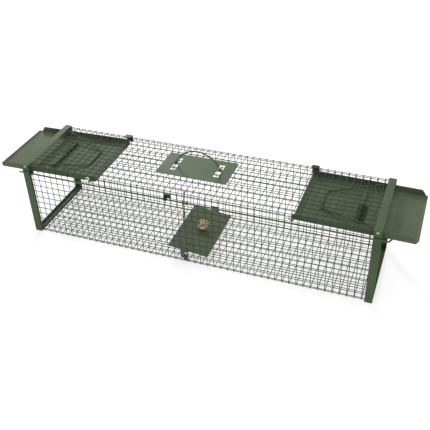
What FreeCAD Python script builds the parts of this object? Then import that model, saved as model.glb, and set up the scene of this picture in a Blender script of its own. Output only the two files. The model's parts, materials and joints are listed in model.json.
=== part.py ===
import FreeCAD, Part
import math
import os

# Live catch trap: a long wire-mesh cage with a drop door at each end.
# Millimetres. X runs along the cage, Y across it (front is -Y), Z up from the ground.

V = FreeCAD.Vector

# Driving dimensions
PITCH = 19.05              # mesh pitch, three quarters of an inch
WIRE = 1.8                 # mesh wire diameter
CAGE_LENGTH = 990.0
CAGE_WIDTH = 242.0
CAGE_HEIGHT = 227.0
FRONT_REACH = 11.0         # how far the trigger gear stands out of the front face
SHEET = 1.5                # frame and bracket sheet
DOOR_SHEET = 1.2
FRAME_WIDTH = 20.0         # face width of the end-frame channels
FRAME_LEG = 8.0            # depth of their legs
RING_COUNT = 50            # wires across the cage, between the end frames
ROOF_GAPS = 12             # mesh gaps across the roof and the floor
WALL_GAPS = 11             # mesh gaps up each side wall
RUN_FIT = 0.05             # radial clearance of a pin in its hole

DOOR_PIVOT_X = 280.0
DOOR_PIVOT_Z = 213.0
DOOR_REACH = 293.0         # pivot to the outer edge of the door's floor
DOOR_TAIL = 6.0            # floor behind the pivot
DOOR_FLANGE = 17.0
DOOR_SLOPE = 1.0           # degrees that the raised door leans down outwards
DOOR_SIDE_GAP = 15.0       # cage face to door flange
LIP_LENGTH = 8.0
LIP_ANGLE = 40.0
PIVOT_R = 2.0              # door pivot rod
RIGHT_PIVOT_TAIL = 11.0    # its front end leans aside by these and up by the rise
LEFT_PIVOT_TAIL = 4.0
PIVOT_RISE = 7.0
RING_R = 4.0               # retaining ring on that end
RING_WIRE_R = 1.6
BAIL_R = 2.0
BAIL_PIVOT_X = 485.0
BAIL_PIVOT_Z = 220.9
BAIL_CROSS_X = 331.0
BAIL_CROSS_Z = 207.4
BAIL_CROSS_WIDTH = 80.0
CATCH_WIDTH = 140.0
CATCH_SPLIT = 4.0          # where its dark tongue ends, from the door's middle
CATCH_HEIGHT = 8.0
CATCH_FROM_PIVOT = 151.0
CATCH_TOP = 10.0           # width of its raised lip
CATCH_FOOT = 14.0

TREADLE_X = -17.0
TREADLE_Z = 23.0
TREADLE_LENGTH = 118.0
TREADLE_WIDTH = 203.0
TREADLE_TILT = 6.4         # degrees, left side up when the trap is set
LEVER_LEAN = 3.8           # degrees that the lever leans towards +X
AXLE_R = 2.0
LEVER_TOP_Z = 246.0
TRIGGER_R = 2.3
TRIGGER_Z = 204.5
TRIGGER_LEFT = -503.0
TRIGGER_RIGHT = 512.0
TRIGGER_HOOK_X = 8.0
TRIGGER_HOOK_Z = 12.0
COLLAR_R = 4.5
COLLAR_LENGTH = 4.0
COLLAR_PLAY = 1.2
GUIDE_LENGTH = 8.0
GUIDE_R = 4.2
GUIDE_PLATE = 20.0
GUIDE_PLATE_Z = (207.0, 219.0)

PLATE_X = -22.0
PLATE_LENGTH = 202.0
PLATE_WIDTH = 108.0
PLATE_FROM_FRONT = 131.6
SLOT_LENGTH = 66.0
SLOT_WIDTH = 15.0
SLOT_OFFSET = 62.0
SLOT_SHIFT = 4.0           # the slots and lugs sit back of the plate's middle
LUG_WIDTH = 9.0
HANDLE_R = 2.0
HANDLE_SPAN = 124.0
HANDLE_HEIGHT = 43.5
HANDLE_BOW = 35.0          # rise of the arch above its short legs
BAIT_R = 18.0
BAIT_LEAN = 32.0           # degrees that the cut face leans to the front
RIVET_R = 2.0
RIVET_HEAD_R = 4.0
RIVET_HEAD = 1.4           # also how far the rivets stand out of the back face
CAP_R = 4.5                # push-on caps on the bail pins
CAP_GAP = 0.4

# Derived places
Y_FRONT = -CAGE_WIDTH / 2 + (FRONT_REACH - RIVET_HEAD) / 2
Y_BACK = Y_FRONT + CAGE_WIDTH
Y_MID = (Y_FRONT + Y_BACK) / 2
X_END = CAGE_LENGTH / 2
X_LEG = X_END - FRAME_WIDTH
DOOR_NEAR = Y_FRONT + DOOR_SIDE_GAP
DOOR_FAR = Y_BACK - DOOR_SIDE_GAP
TRIGGER_Y = Y_FRONT - 0.9 - TRIGGER_R
PIVOT_OUT_Y = Y_FRONT - 3.5
LEVER_Y = Y_FRONT - FRONT_REACH + AXLE_R
ROD_IN_LEVER_X = TREADLE_X + (TRIGGER_Z - TREADLE_Z) * math.tan(math.radians(LEVER_LEAN))
FRAME_RIVET_Z = 14.0
FRONT_SCREWS = ((TREADLE_X - 7, 13.0), (TREADLE_X + 4, 34.0))
BACK_SCREWS = ((TREADLE_X - 7, 13.0), (TREADLE_X + 2.5, 13.0))
STRAP_YS = (Y_MID - 70, Y_MID + 70)
# left end, plate width and plate height range of each rod guide
GUIDES = ((-472.0, GUIDE_LENGTH + 4, (TRIGGER_Z - 5, TRIGGER_Z + 7)),
          (-65.0, GUIDE_PLATE, GUIDE_PLATE_Z))


def box(x0, x1, y0, y1, z0, z1):
    return Part.makeBox(x1 - x0, y1 - y0, z1 - z0, V(x0, y0, z0))


def rod(start, end, radius):
    a, b = V(*start), V(*end)
    return Part.makeCylinder(radius, a.distanceToPoint(b), a, b - a)


def bent_rod(points, radius):
    """A wire of straight runs with a round elbow at each inner corner."""
    shape = rod(points[0], points[1], radius)
    for a, b in zip(points[1:], points[2:]):
        shape = shape.fuse(Part.makeSphere(radius, V(*a)))
        shape = shape.fuse(rod(a, b, radius))
    return shape


def turned(shape, pivot, degrees):
    """Positive degrees turn +Z towards +X, about the Y axis through the pivot."""
    copy = shape.copy()
    copy.rotate(V(*pivot), V(0, 1, 0), degrees)
    return copy


def mirrored(shape):
    return shape.mirror(V(0, 0, 0), V(1, 0, 0))


def half_turned(shape):
    """The same piece on the left door, which is the right door turned half round."""
    copy = shape.copy()
    copy.rotate(V(0, Y_MID, 0), V(0, 0, 1), 180)
    return copy


def save(name, shape):
    shape = shape if shape.ShapeType == "Compound" else shape.removeSplitter()
    solids = shape.Solids
    whole = solids[0] if len(solids) == 1 else Part.makeCompound(solids)
    whole.exportStep("parts/" + name + ".step")
    print(name, len(solids), "solids", round(whole.Volume / 1000, 2), "cm3", whole.isValid())


def save_pair(name, shape):
    """Saves the right-hand piece and its mirror image on the left."""
    save("right_" + name, shape)
    save("left_" + name, mirrored(shape))


def rivet(x, y, z, direction, grip):
    """A rivet whose head sits at x, y, z and whose shank runs against direction."""
    d = V(*direction)
    at = V(x, y, z)
    head = Part.makeCylinder(RIVET_HEAD_R, RIVET_HEAD, at, d)
    shank = Part.makeCylinder(RIVET_R, grip, at, d * -1)
    return head.fuse(shank)


def drilled(shape, x, y, z, direction, radius=RIVET_R):
    d = V(*direction)
    hole = Part.makeCylinder(radius + RUN_FIT, 20, V(x, y, z) - d * 10, d)
    return shape.cut(hole)


# Mesh panels: lengthways wires and crosswise wires lie in two layers that just touch.
ring_xs = [(i - (RING_COUNT - 1) / 2) * PITCH for i in range(RING_COUNT)]
roof_ys = [Y_MID + (i - ROOF_GAPS / 2) * PITCH for i in range(ROOF_GAPS + 1)]
wall_zs = [8.7 + i * PITCH for i in range(WALL_GAPS + 1)]
R = WIRE / 2
WALL_FOOT = 2 * WIRE
WALL_HEAD = CAGE_HEIGHT - 2 * WIRE


def flat_mesh(z_cross, z_long):
    wires = [rod((x, Y_FRONT + SHEET, z_cross), (x, Y_BACK - SHEET, z_cross), R) for x in ring_xs]
    wires += [rod((-X_LEG, y, z_long), (X_LEG, y, z_long), R) for y in roof_ys]
    return Part.makeCompound(wires)


def wall_mesh(y_cross, y_long):
    wires = [rod((x, y_cross, WALL_FOOT), (x, y_cross, WALL_HEAD), R) for x in ring_xs]
    wires += [rod((-X_LEG, y_long, z), (X_LEG, y_long, z), R) for z in wall_zs]
    return Part.makeCompound(wires)


# End frames: four channels, their legs turned inwards.
def post(y_face, inward):
    """Upright channel whose face is at y_face; inward is +1 or -1 along Y."""
    def slab(x0, x1, depth0, depth1):
        ys = sorted((y_face + inward * depth0, y_face + inward * depth1))
        return box(x0, x1, ys[0], ys[1], 0, CAGE_HEIGHT - SHEET)
    face = slab(X_LEG, X_END, 0, SHEET)
    inner = slab(X_LEG, X_LEG + SHEET, 0, FRAME_LEG)
    outer = slab(X_END - SHEET, X_END, 0, FRAME_LEG)
    shape = face.fuse([inner, outer])
    shape = drilled(shape, BAIL_PIVOT_X, y_face, BAIL_PIVOT_Z, (0, 1, 0), BAIL_R)
    return drilled(shape, BAIL_PIVOT_X, y_face, FRAME_RIVET_Z, (0, 1, 0))


def bottom_bar():
    web = box(X_LEG, X_END, Y_FRONT + FRAME_LEG, Y_BACK - FRAME_LEG, 0, SHEET)
    tongue = box(X_LEG + SHEET, X_END - SHEET, Y_FRONT + SHEET, Y_BACK - SHEET, 0, SHEET)
    legs = [tongue]
    for x in (X_LEG, X_END - SHEET):
        legs.append(box(x, x + SHEET, Y_FRONT + FRAME_LEG, Y_BACK - FRAME_LEG, 0, FRAME_LEG))
    shape = web.fuse(legs)
    for y_face, inward in ((Y_FRONT, 1), (Y_BACK, -1)):
        y0, y1 = sorted((y_face + inward * SHEET, y_face + inward * 2 * SHEET))
        tab = box(X_LEG + 4, X_END - 4, y0, y1, 0, 22)
        tab = drilled(tab, BAIL_PIVOT_X, y_face, FRAME_RIVET_Z, (0, 1, 0))
        shape = shape.fuse(tab)
    return shape


def top_bar():
    return box(X_LEG, X_END, Y_FRONT, Y_BACK, CAGE_HEIGHT - SHEET, CAGE_HEIGHT)


def frame_rivets():
    group = []
    for x in (-BAIL_PIVOT_X, BAIL_PIVOT_X):
        group.append(rivet(x, Y_FRONT, FRAME_RIVET_Z, (0, -1, 0), 2 * SHEET))
        group.append(rivet(x, Y_BACK, FRAME_RIVET_Z, (0, 1, 0), 2 * SHEET))
    return Part.makeCompound(group)


# Doors: shallow trays, modelled level about the pivot and then leaned.
FLOOR_Z = DOOR_PIVOT_Z - DOOR_FLANGE / 2


def door_tray():
    x0 = DOOR_PIVOT_X - DOOR_TAIL
    x1 = DOOR_PIVOT_X + DOOR_REACH
    shape = box(x0, x1, DOOR_NEAR, DOOR_FAR, FLOOR_Z, FLOOR_Z + DOOR_SHEET)
    top = FLOOR_Z + DOOR_FLANGE
    outline = [V(x0, 0, FLOOR_Z), V(x1, 0, FLOOR_Z), V(x1, 0, FLOOR_Z + 4),
               V(x1 - 10, 0, top), V(x0 + 4, 0, top), V(x0, 0, top - 4), V(x0, 0, FLOOR_Z)]
    side = Part.Face(Part.makePolygon(outline)).extrude(V(0, DOOR_SHEET, 0))
    for y in (DOOR_NEAR, DOOR_FAR - DOOR_SHEET):
        flange = side.copy()
        flange.translate(V(0, y, 0))
        shape = shape.fuse(flange)
    rise = LIP_LENGTH * math.sin(math.radians(LIP_ANGLE))
    run = LIP_LENGTH * math.cos(math.radians(LIP_ANGLE))
    lip_outline = [V(x1, DOOR_NEAR, FLOOR_Z), V(x1 + run, DOOR_NEAR, FLOOR_Z + rise),
                   V(x1 + run, DOOR_NEAR, FLOOR_Z + rise + DOOR_SHEET),
                   V(x1, DOOR_NEAR, FLOOR_Z + DOOR_SHEET), V(x1, DOOR_NEAR, FLOOR_Z)]
    lip = Part.Face(Part.makePolygon(lip_outline)).extrude(V(0, DOOR_FAR - DOOR_NEAR, 0))
    mitre = [V(x1, DOOR_NEAR, 0), V(x1 + run, DOOR_NEAR + run, 0), V(x1 + run, DOOR_FAR - run, 0),
             V(x1, DOOR_FAR, 0), V(x1, DOOR_NEAR, 0)]
    lip = lip.common(Part.Face(Part.makePolygon(mitre)).extrude(V(0, 0, CAGE_HEIGHT)))
    shape = shape.fuse(lip)
    hole = rod((DOOR_PIVOT_X, DOOR_NEAR - 2, DOOR_PIVOT_Z), (DOOR_PIVOT_X, DOOR_FAR + 2, DOOR_PIVOT_Z),
               PIVOT_R + RUN_FIT)
    shape = shape.cut(hole)
    return lean(shape)


def lean(shape):
    return turned(shape, (DOOR_PIVOT_X, 0, DOOR_PIVOT_Z), DOOR_SLOPE)


def catch_strip(y0, y1):
    """Z-section strip on the door's floor; its lip faces the pivot and holds the fallen bail."""
    x = DOOR_PIVOT_X + CATCH_FROM_PIVOT
    z = FLOOR_Z + DOOR_SHEET
    foot = box(x, x + CATCH_FOOT, y0, y1, z, z + DOOR_SHEET)
    upright = box(x - DOOR_SHEET, x, y0, y1, z, z + CATCH_HEIGHT)
    lip = box(x - CATCH_TOP, x, y0, y1, z + CATCH_HEIGHT - DOOR_SHEET, z + CATCH_HEIGHT)
    return lean(foot.fuse([upright, lip]))


door_catch = catch_strip(Y_MID + CATCH_SPLIT + 0.5, Y_MID + CATCH_WIDTH / 2)
catch_tongue = catch_strip(Y_MID - CATCH_WIDTH / 2, Y_MID + CATCH_SPLIT)


def bail():
    """Lock bail: pins in the end frame, two arms and a narrow crossbar."""
    half_cross = BAIL_CROSS_WIDTH / 2
    pin_x, pin_z = BAIL_PIVOT_X, BAIL_PIVOT_Z
    near_out, far_out = Y_FRONT - RIVET_HEAD, Y_BACK + RIVET_HEAD
    arm_y = CAGE_WIDTH / 2 - 17
    points = [(pin_x, near_out, pin_z), (pin_x, Y_MID - arm_y, pin_z),
              (BAIL_CROSS_X, Y_MID - half_cross, BAIL_CROSS_Z),
              (BAIL_CROSS_X, Y_MID + half_cross, BAIL_CROSS_Z),
              (pin_x, Y_MID + arm_y, pin_z), (pin_x, far_out, pin_z)]
    return bent_rod(points, BAIL_R)


def bail_caps():
    caps = []
    for y in (Y_FRONT - RIVET_HEAD, Y_BACK + CAP_GAP):
        y_end = y + RIVET_HEAD - CAP_GAP
        cap = rod((BAIL_PIVOT_X, y, BAIL_PIVOT_Z), (BAIL_PIVOT_X, y_end, BAIL_PIVOT_Z), CAP_R)
        pin = rod((BAIL_PIVOT_X, y - 1, BAIL_PIVOT_Z), (BAIL_PIVOT_X, y_end + 1, BAIL_PIVOT_Z), BAIL_R)
        caps.append(cap.cut(pin))
    return Part.makeCompound([s for cap in caps for s in cap.Solids])


def pivot_ring(x, tail):
    """Bright ring on the bent front end of a door pivot."""
    reach = 1 + RING_R / math.hypot(tail, PIVOT_RISE)
    centre = V(x - tail * reach, PIVOT_OUT_Y, DOOR_PIVOT_Z + PIVOT_RISE * reach)
    return Part.makeTorus(RING_R, RING_WIRE_R, centre, V(0, 1, 0))


def pivot_rod(x, tail):
    """Door pivot: straight across the cage, its front end bent aside and up into the ring."""
    z = DOOR_PIVOT_Z
    shape = bent_rod([(x, Y_BACK, z), (x, PIVOT_OUT_Y, z),
                      (x - tail, PIVOT_OUT_Y, z + PIVOT_RISE)], PIVOT_R)
    return shape.cut(pivot_ring(x, tail))


def hinge_plate(y_face, inward):
    """Folded plate over the roof's back edge that carries the end of a door pivot."""
    y0, y1 = sorted((y_face, y_face + inward * SHEET))
    wall = box(DOOR_PIVOT_X - 10, DOOR_PIVOT_X + 10, y0, y1, 206, CAGE_HEIGHT + SHEET)
    t0, t1 = sorted((y_face, y_face + inward * 16))
    cap = box(DOOR_PIVOT_X - 10, DOOR_PIVOT_X + 10, t0, t1, CAGE_HEIGHT, CAGE_HEIGHT + SHEET)
    shape = wall.fuse(cap)
    return drilled(shape, DOOR_PIVOT_X, y_face, DOOR_PIVOT_Z, (0, 1, 0), PIVOT_R)


def treadle_bracket(y_face, inward, top, screws):
    y0, y1 = sorted((y_face, y_face + inward * SHEET))
    shape = box(TREADLE_X - 11, TREADLE_X + 11, y0, y1, 7, top)
    shape = drilled(shape, TREADLE_X, y_face, TREADLE_Z, (0, 1, 0), AXLE_R)
    for x, z in screws:
        shape = drilled(shape, x, y_face, z, (0, 1, 0))
    return shape


def bracket_screws():
    group = []
    for x, z in FRONT_SCREWS:
        group.append(rivet(x, Y_FRONT, z, (0, -1, 0), 8))
    for x, z in BACK_SCREWS:
        group.append(rivet(x, Y_BACK, z, (0, 1, 0), 8))
    return Part.makeCompound(group)


# Treadle, its axle and lever, all turned together about the axle.
def tilt(shape):
    return turned(shape, (TREADLE_X, 0, TREADLE_Z), TREADLE_TILT)


def treadle_plate():
    z = TREADLE_Z + AXLE_R
    shape = box(TREADLE_X - TREADLE_LENGTH / 2, TREADLE_X + TREADLE_LENGTH / 2,
                Y_MID - TREADLE_WIDTH / 2, Y_MID + TREADLE_WIDTH / 2, z, z + SHEET)
    for y in STRAP_YS:
        for side in (-8, 8):
            shape = drilled(shape, TREADLE_X + side, y, z, (0, 0, 1))
    return tilt(shape)


def treadle_straps():
    """Saddle straps that hold the plate down on the axle, each with two rivets."""
    group = []
    x, z = TREADLE_X, TREADLE_Z + AXLE_R
    for y in STRAP_YS:
        saddle = box(x - 12, x + 12, y - 6, y + 6, z - SHEET, z)
        hump = Part.makeCylinder(AXLE_R + SHEET, 12, V(x, y - 6, TREADLE_Z), V(0, 1, 0))
        saddle = saddle.fuse(hump)
        saddle = saddle.cut(box(x - 20, x + 20, y - 8, y + 8, z, z + 20))
        saddle = saddle.cut(rod((x, y - 8, TREADLE_Z), (x, y + 8, TREADLE_Z), AXLE_R))
        saddle = saddle.cut(box(x - AXLE_R, x + AXLE_R, y - 8, y + 8, TREADLE_Z, z + 1))
        for side in (-8, 8):
            saddle = drilled(saddle, x + side, y, z, (0, 0, 1))
        group.append(tilt(saddle))
    return Part.makeCompound([s for part in group for s in part.Solids])


def treadle_rivets():
    group = []
    z = TREADLE_Z + AXLE_R + SHEET
    for y in STRAP_YS:
        for side in (-8, 8):
            group.append(tilt(rivet(TREADLE_X + side, y, z, (0, 0, 1), 2 * SHEET + 1)))
    return Part.makeCompound(group)


def trip_lever():
    """Axle under the treadle, bent up outside the front mesh into the lever."""
    tall = (LEVER_TOP_Z - TREADLE_Z) * math.tan(math.radians(LEVER_LEAN))
    return bent_rod([(TREADLE_X, Y_BACK, TREADLE_Z), (TREADLE_X, LEVER_Y, TREADLE_Z),
                     (TREADLE_X + tall, LEVER_Y, LEVER_TOP_Z)], AXLE_R)


def bait():
    """Half a walnut on the treadle, its cut face leaning to the front."""
    x, y = TREADLE_X + 3, Y_MID + 3
    z = TREADLE_Z + AXLE_R + SHEET
    size = 4 * BAIT_R
    centre = V(x, y, z + BAIT_R * 0.9)
    above = Part.makeBox(size, size, size, V(-size / 2, -size / 2, 0))
    above.rotate(V(0, 0, 0), V(1, 0, 0), BAIT_LEAN)
    above.translate(centre)
    ball = Part.makeSphere(BAIT_R, centre).cut(above)
    ball = ball.cut(box(x - size, x + size, y - size, y + size, z - size, z))
    return tilt(ball)


# Trigger rod outside the front mesh, its right end turned up beside the door.
def trigger_rod():
    z, y = TRIGGER_Z, TRIGGER_Y
    return bent_rod([(TRIGGER_LEFT, y, z), (TRIGGER_RIGHT, y, z),
                     (TRIGGER_RIGHT + TRIGGER_HOOK_X, y, z + TRIGGER_HOOK_Z)], TRIGGER_R)


def rod_collars():
    """Two collars on the trigger rod, one each side of the lever."""
    reach = AXLE_R / math.cos(math.radians(LEVER_LEAN)) + COLLAR_PLAY
    group = []
    for x in (ROD_IN_LEVER_X - reach - COLLAR_LENGTH, ROD_IN_LEVER_X + reach):
        ring = rod((x, TRIGGER_Y, TRIGGER_Z), (x + COLLAR_LENGTH, TRIGGER_Y, TRIGGER_Z), COLLAR_R)
        ring = ring.cut(rod((x - 1, TRIGGER_Y, TRIGGER_Z), (x + 6, TRIGGER_Y, TRIGGER_Z), TRIGGER_R))
        group.append(ring.cut(box(x - 1, x + 6, Y_FRONT - 0.5, Y_FRONT + 20, 150, 250)))
    return Part.makeCompound([s for part in group for s in part.Solids])


def rod_guides():
    """Eyes on small plates against the mesh; the trigger rod slides in them."""
    group = []
    for x, width, (z0, z1) in GUIDES:
        eye = rod((x, TRIGGER_Y, TRIGGER_Z), (x + GUIDE_LENGTH, TRIGGER_Y, TRIGGER_Z), GUIDE_R)
        plate = box(x, x + width, Y_FRONT, Y_FRONT + SHEET, z0, z1)
        neck = box(x, x + GUIDE_LENGTH, Y_FRONT, Y_FRONT + SHEET, TRIGGER_Z - 4, TRIGGER_Z + 5)
        eye = eye.fuse([neck, plate])
        bore = rod((x - 1, TRIGGER_Y, TRIGGER_Z), (x + GUIDE_LENGTH + 1, TRIGGER_Y, TRIGGER_Z),
                   TRIGGER_R + RUN_FIT)
        eye = eye.cut(bore)
        eye = eye.cut(box(x - 1, x + 20, Y_FRONT + SHEET, Y_FRONT + 30, 150, 250))
        group.append(eye)
    return Part.makeCompound([s for part in group for s in part.Solids])


# Carry handle and its plate on the roof.
plate_y = Y_FRONT + PLATE_FROM_FRONT
handle_z = CAGE_HEIGHT + SHEET + 4
lug_y = plate_y + SLOT_SHIFT
lug_offset = HANDLE_SPAN / 2 + 3


def handle_plate():
    z = CAGE_HEIGHT
    shape = box(PLATE_X - PLATE_LENGTH / 2, PLATE_X + PLATE_LENGTH / 2,
                plate_y - PLATE_WIDTH / 2, plate_y + PLATE_WIDTH / 2, z, z + SHEET)
    for side in (-1, 1):
        x = PLATE_X + side * SLOT_OFFSET
        shape = shape.cut(box(x - SLOT_WIDTH / 2, x + SLOT_WIDTH / 2,
                              lug_y - SLOT_LENGTH / 2, lug_y + SLOT_LENGTH / 2, z - 5, z + 5))
        # a bridge across the slot carries the lug
        shape = shape.fuse(box(x - SLOT_WIDTH / 2 - 1, x + SLOT_WIDTH / 2 + 1,
                               lug_y - LUG_WIDTH / 2, lug_y + LUG_WIDTH / 2, z, z + SHEET))
    return shape


def handle_lugs():
    group = []
    z = CAGE_HEIGHT + SHEET
    for side in (-1, 1):
        x = PLATE_X + side * lug_offset
        ear = box(x - 1.5, x + 1.5, lug_y - LUG_WIDTH / 2, lug_y + LUG_WIDTH / 2, z, handle_z + 4)
        ear = ear.cut(rod((x - 5, lug_y, handle_z), (x + 5, lug_y, handle_z), HANDLE_R + RUN_FIT))
        group.append(ear)
    return Part.makeCompound([s for part in group for s in part.Solids])


def carry_handle():
    """Round-topped wire arch that folds flat either way on its two end pins."""
    half = HANDLE_SPAN / 2 - 3
    leg_top = handle_z + HANDLE_HEIGHT - HANDLE_BOW
    apex = handle_z + HANDLE_HEIGHT
    crown = Part.Arc(V(PLATE_X - half, lug_y, leg_top), V(PLATE_X, lug_y, apex),
                     V(PLATE_X + half, lug_y, leg_top)).toShape()
    start = crown.Vertexes[0].Point
    tangent = crown.tangentAt(crown.FirstParameter)
    section = Part.Wire(Part.makeCircle(HANDLE_R, start, tangent))
    shape = Part.Wire(crown).makePipeShell([section], True, False)
    for side in (-1, 1):
        x = PLATE_X + side * half
        outer = PLATE_X + side * (lug_offset + 3)
        leg = bent_rod([(outer, lug_y, handle_z), (x, lug_y, handle_z), (x, lug_y, leg_top)], HANDLE_R)
        shape = shape.fuse(leg)
        shape = shape.fuse(Part.makeSphere(HANDLE_R, V(x, lug_y, leg_top)))
    return shape


os.makedirs("parts", exist_ok=True)
save("floor_mesh", flat_mesh(R, WIRE + R))
save("roof_mesh", flat_mesh(CAGE_HEIGHT - R, CAGE_HEIGHT - WIRE - R))
save("front_mesh", wall_mesh(Y_FRONT + SHEET + R, Y_FRONT + SHEET + WIRE + R))
save("back_mesh", wall_mesh(Y_BACK - SHEET - R, Y_BACK - SHEET - WIRE - R))
save_pair("front_post", post(Y_FRONT, 1))
save_pair("back_post", post(Y_BACK, -1))
save_pair("bottom_bar", bottom_bar())
save_pair("top_bar", top_bar())
save("frame_rivets", frame_rivets())
save_pair("door", door_tray())
save("right_door_catch", door_catch)
save("left_door_catch", half_turned(door_catch))
save("right_catch_tongue", catch_tongue)
save("left_catch_tongue", half_turned(catch_tongue))
save_pair("lock_bail", bail())
save_pair("bail_caps", bail_caps())
save("right_door_pivot", pivot_rod(DOOR_PIVOT_X, RIGHT_PIVOT_TAIL))
save("left_door_pivot", pivot_rod(-DOOR_PIVOT_X, LEFT_PIVOT_TAIL))
save("right_pivot_ring", pivot_ring(DOOR_PIVOT_X, RIGHT_PIVOT_TAIL))
save("left_pivot_ring", pivot_ring(-DOOR_PIVOT_X, LEFT_PIVOT_TAIL))
save_pair("hinge_plate", hinge_plate(Y_BACK, -1))
save("front_treadle_bracket", treadle_bracket(Y_FRONT, 1, 40, FRONT_SCREWS))
save("back_treadle_bracket", treadle_bracket(Y_BACK, -1, 27, BACK_SCREWS))
save("bracket_screws", bracket_screws())
save("treadle_plate", treadle_plate())
save("treadle_straps", treadle_straps())
save("treadle_rivets", treadle_rivets())
save("trip_lever", trip_lever())
save("walnut_bait", bait())
save("trigger_rod", trigger_rod())
save("rod_collars", rod_collars())
save("rod_guides", rod_guides())
save("handle_plate", handle_plate())
save("handle_lugs", handle_lugs())
save("carry_handle", carry_handle())
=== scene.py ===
"""Looks of a wire-mesh live catch trap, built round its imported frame. Metres, Z up."""

import json
import math

import bmesh
import bpy
from mathutils import Matrix, Vector, noise


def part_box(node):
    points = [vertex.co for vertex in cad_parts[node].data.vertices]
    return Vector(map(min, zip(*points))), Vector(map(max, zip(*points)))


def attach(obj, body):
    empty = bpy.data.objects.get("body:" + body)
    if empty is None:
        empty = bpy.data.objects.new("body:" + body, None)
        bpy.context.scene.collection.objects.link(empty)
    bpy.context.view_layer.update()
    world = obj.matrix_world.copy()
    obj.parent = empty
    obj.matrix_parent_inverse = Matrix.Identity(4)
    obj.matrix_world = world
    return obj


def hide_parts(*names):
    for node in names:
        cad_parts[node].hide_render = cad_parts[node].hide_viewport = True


bl_info = {
    "name": "Live Catch Trap",
    "version": (1, 0, 0),
    "blender": (4, 5, 0),
    "location": "View3D > Sidebar > Trap",
    "description": "Builds the mesh, sheet metal, wires, rivets and bait of a double-door catch trap",
    "category": "Object",
}

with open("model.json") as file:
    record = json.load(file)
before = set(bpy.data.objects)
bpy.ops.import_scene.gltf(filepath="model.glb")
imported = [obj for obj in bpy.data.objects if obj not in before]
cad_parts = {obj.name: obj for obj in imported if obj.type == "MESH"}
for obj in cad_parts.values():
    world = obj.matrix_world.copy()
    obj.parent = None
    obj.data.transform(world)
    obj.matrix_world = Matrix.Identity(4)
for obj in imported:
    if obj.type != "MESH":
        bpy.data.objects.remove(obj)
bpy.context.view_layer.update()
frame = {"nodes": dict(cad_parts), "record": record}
SIDES = ("left", "right")

ROOF_LOW, ROOF_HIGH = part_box("roof_mesh")
FRONT_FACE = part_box("front_mesh")[0].y
BACK_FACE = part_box("back_mesh")[1].y
MID_Y = (FRONT_FACE + BACK_FACE) / 2
WIRE_DIAMETER = (ROOF_HIGH.z - ROOF_LOW.z) / 2    # the roof is two layers of wire
TREADLE_LENGTH = 0.118
TREADLE_THICKNESS = 0.0015

# How finely the mesh wires and rivet heads are drawn
WIRE_SIDES = 8
CORNER_STEPS = 3
LONG_WIRE_STEPS = 52
STRAY_SCALE = 17.0
DOME_SIDES, DOME_RINGS = 14, 8
RIM_SIDES = 18

# Sizes and colours that a user would change

class TrapMeshSizes(bpy.types.PropertyGroup):
    """Sizes of the welded wire mesh"""

    pitch: bpy.props.FloatProperty(
        name="Mesh pitch", description="Distance between neighbouring wires", default=0.01905, unit="LENGTH")
    rings: bpy.props.IntProperty(
        name="Wires around", description="Wires bent round the cage between the end frames", default=50)
    roof_gaps: bpy.props.IntProperty(
        name="Gaps across", description="Mesh gaps across the roof and the floor", default=12)
    wall_gaps: bpy.props.IntProperty(
        name="Gaps up", description="Mesh gaps up each side wall", default=11)
    corner: bpy.props.FloatProperty(
        name="Corner radius", description="Bend radius at the cage's long edges", default=0.006,
        unit="LENGTH")
    lowest_wall_wire: bpy.props.FloatProperty(
        name="Lowest wall wire", description="Height of the lowest wire along each side wall",
        default=0.0087, unit="LENGTH")
    waviness: bpy.props.FloatProperty(
        name="Waviness", description="How far the wires stray from straight", default=0.00045, unit="LENGTH")
    weld: bpy.props.FloatProperty(
        name="Weld size", description="Radius of the coated blob at each crossing", default=0.00135,
        unit="LENGTH")


class TrapFinishes(bpy.types.PropertyGroup):
    """Colours of the coated steel, the bright fasteners and the bait"""

    wire: bpy.props.FloatVectorProperty(
        name="Wire", description="Coating on the mesh wire", subtype="COLOR", size=3,
        default=(0.040, 0.057, 0.030))
    sheet: bpy.props.FloatVectorProperty(
        name="Sheet", description="Powder coat on frames, brackets and handle plate", subtype="COLOR",
        size=3, default=(0.060, 0.090, 0.046))
    door: bpy.props.FloatVectorProperty(
        name="Doors", description="Powder coat on doors and treadle", subtype="COLOR", size=3,
        default=(0.084, 0.104, 0.064))
    rod: bpy.props.FloatVectorProperty(
        name="Rods", description="Coating on rods, bails and handle", subtype="COLOR", size=3,
        default=(0.070, 0.102, 0.054))
    # dark coat of the rod guides and hinge plates; on the catch tongues this dark is painted shade, the
    # shadow beside each raised door catch
    dark: bpy.props.FloatVectorProperty(
        name="Dark steel and painted shade", description="Rod guides, catch tongues and hinge plates", subtype="COLOR",
        size=3, default=(0.022, 0.028, 0.018))
    zinc: bpy.props.FloatVectorProperty(
        name="Zinc", description="Screws, push-on caps and pivot rings", subtype="COLOR", size=3,
        default=(0.62, 0.62, 0.59))
    shell: bpy.props.FloatVectorProperty(
        name="Walnut shell", description="Shell of the bait", subtype="COLOR", size=3,
        default=(0.46, 0.31, 0.18))
    kernel: bpy.props.FloatVectorProperty(
        name="Walnut kernel", description="Kernel of the bait", subtype="COLOR", size=3,
        default=(0.72, 0.58, 0.42))
    edge_round: bpy.props.FloatProperty(
        name="Edge rounding", description="Rounding of the cut sheet's edges", default=0.00045,
        unit="LENGTH")


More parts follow.
